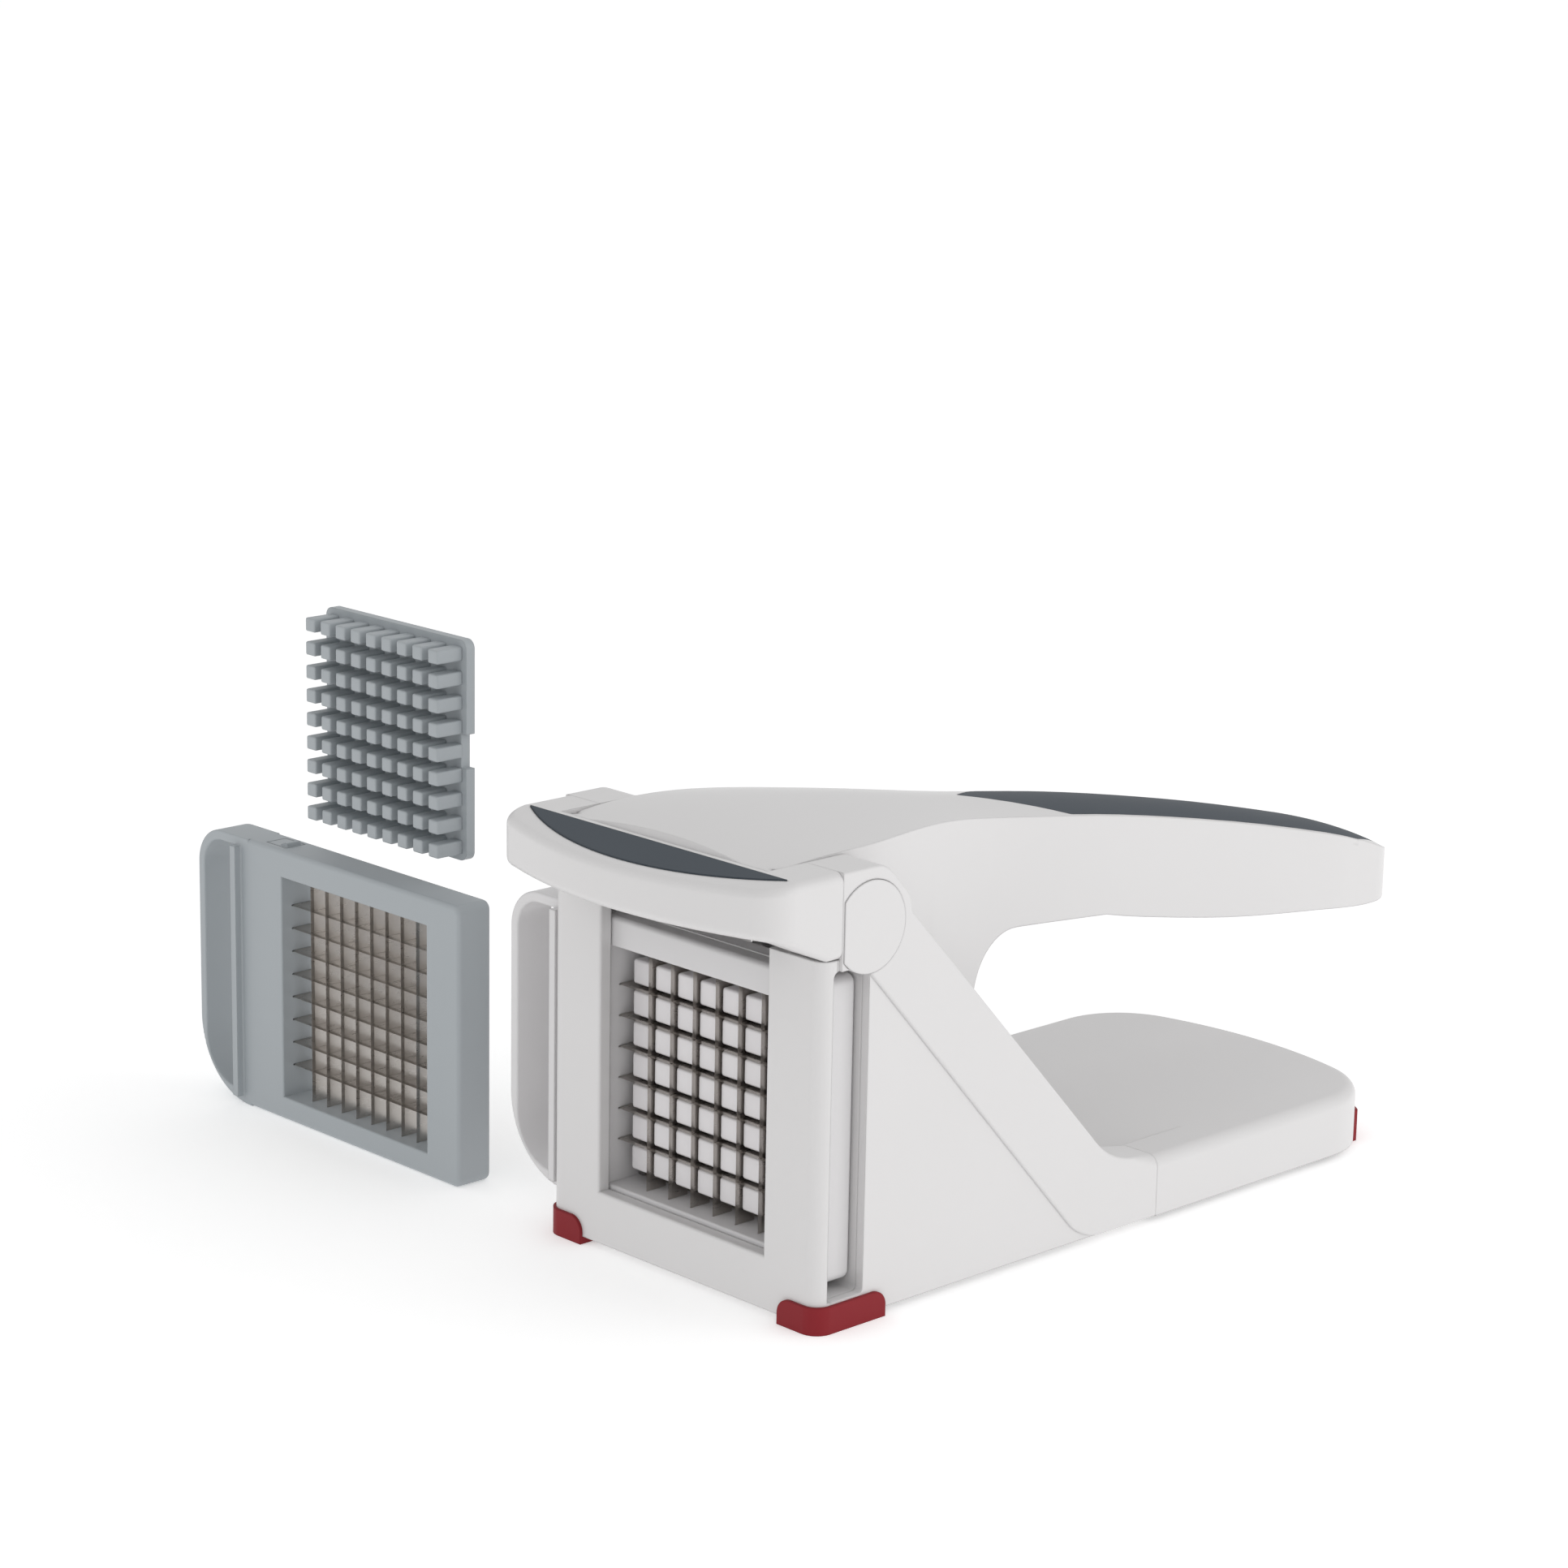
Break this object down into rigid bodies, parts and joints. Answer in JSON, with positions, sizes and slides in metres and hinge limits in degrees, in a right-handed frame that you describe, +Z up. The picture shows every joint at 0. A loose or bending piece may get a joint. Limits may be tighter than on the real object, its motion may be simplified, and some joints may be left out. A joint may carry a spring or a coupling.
{
  "type": "vegetable dicer",
  "caption": "Lever-operated bench vegetable dicer with a square blade grid, a studded pusher, and a spare finer blade cartridge and pusher beside it.",
  "frame": {"origin": "bottom centre of the bounding box of the whole set, on the table plane", "axes": "+X to the right seen from the front of the dicer, +Y from the front opening to the lever handle, +Z up"},
  "size_m": [0.31, 0.3594, 0.1756],
  "materials": {
    "housing_white": "satin moulded plastic, slightly warm white",
    "lever_white": "satin moulded plastic, slightly warm white",
    "chamber_grey": "fine matt moulding",
    "inlay_slate": "soft-touch matt",
    "foot_red": "soft rubber with a slight sheen",
    "steel": "ground blade steel",
    "screw_steel": "zinc plated",
    "cartridge_white": "satin moulded plastic",
    "cartridge_grey": "satin light blue-grey",
    "stud_white": "satin moulded plastic"
  },
  "bodies": {
    "body": {"front_frame": "housing_white", "side_frame_right": "housing_white", "side_frame_left": "housing_white", "rear_base": "housing_white", "chamber_tray": "chamber_grey", "bottom_plate": "housing_white", "bottom_screws": "screw_steel", "front_bar": "housing_white", "bar_inlay": "inlay_slate", "pivot_cap_right": "housing_white", "pivot_cap_left": "housing_white", "pivot_pins": "steel", "foot_front_right": "foot_red", "foot_front_left": "foot_red", "foot_rear_right": "foot_red", "foot_rear_left": "foot_red", "blades_upright": "steel", "blades_level": "steel", "cartridge_frame": "cartridge_white"},
    "lever": {"lever_shell": "lever_white", "lever_cover": "lever_white", "grip_inlay": "inlay_slate", "link_pin": "steel"},
    "carriage": {"carriage": "housing_white", "pusher_plate": "stud_white", "pusher_studs": "stud_white"},
    "cartridge_latch": {"cartridge_latch": "cartridge_white"},
    "spare_cartridge": {"spare_frame": "cartridge_grey", "spare_blades_upright": "steel", "spare_blades_level": "steel"},
    "spare_latch": {"spare_latch": "cartridge_grey"},
    "spare_pusher": {"spare_pusher_plate": "cartridge_grey", "spare_pusher_studs": "cartridge_grey"}
  },
  "joints": [
    {"name": "lever_pivot", "type": "hinge", "parent": "body", "child": "lever", "pos_m": [0.09373, -0.13025, 0.1225], "axis": [1, 0, 0], "range_deg": [0, 58]},
    {"name": "carriage_slide", "type": "slide", "parent": "body", "child": "carriage", "axis": [0, 1, 0], "range_m": [0, 0.0643]},
    {"name": "latch_flex", "type": "hinge", "parent": "body", "child": "cartridge_latch", "pos_m": [0.04412, -0.13655, 0.106], "axis": [0, 1, 0], "range_deg": [0, 8], "stiffness_Nm_per_rad": 0.05},
    {"name": "spare_cartridge_slide", "type": "slide", "parent": "body", "child": "spare_cartridge", "axis": [-1, 0, 0], "range_m": [0, 0.06]},
    {"name": "spare_latch_flex", "type": "hinge", "parent": "spare_cartridge", "child": "spare_latch", "pos_m": [-0.11937, -0.13855, 0.0935], "axis": [0, 1, 0], "range_deg": [0, 8], "stiffness_Nm_per_rad": 0.05},
    {"name": "spare_pusher_lift", "type": "slide", "parent": "body", "child": "spare_pusher", "axis": [0, 0, 1], "range_m": [0, 0.06]}
  ],
  "couplings": [
    {"joint": "carriage_slide", "follows": "lever_pivot", "m_per_rad": 0.063519}
  ]
}
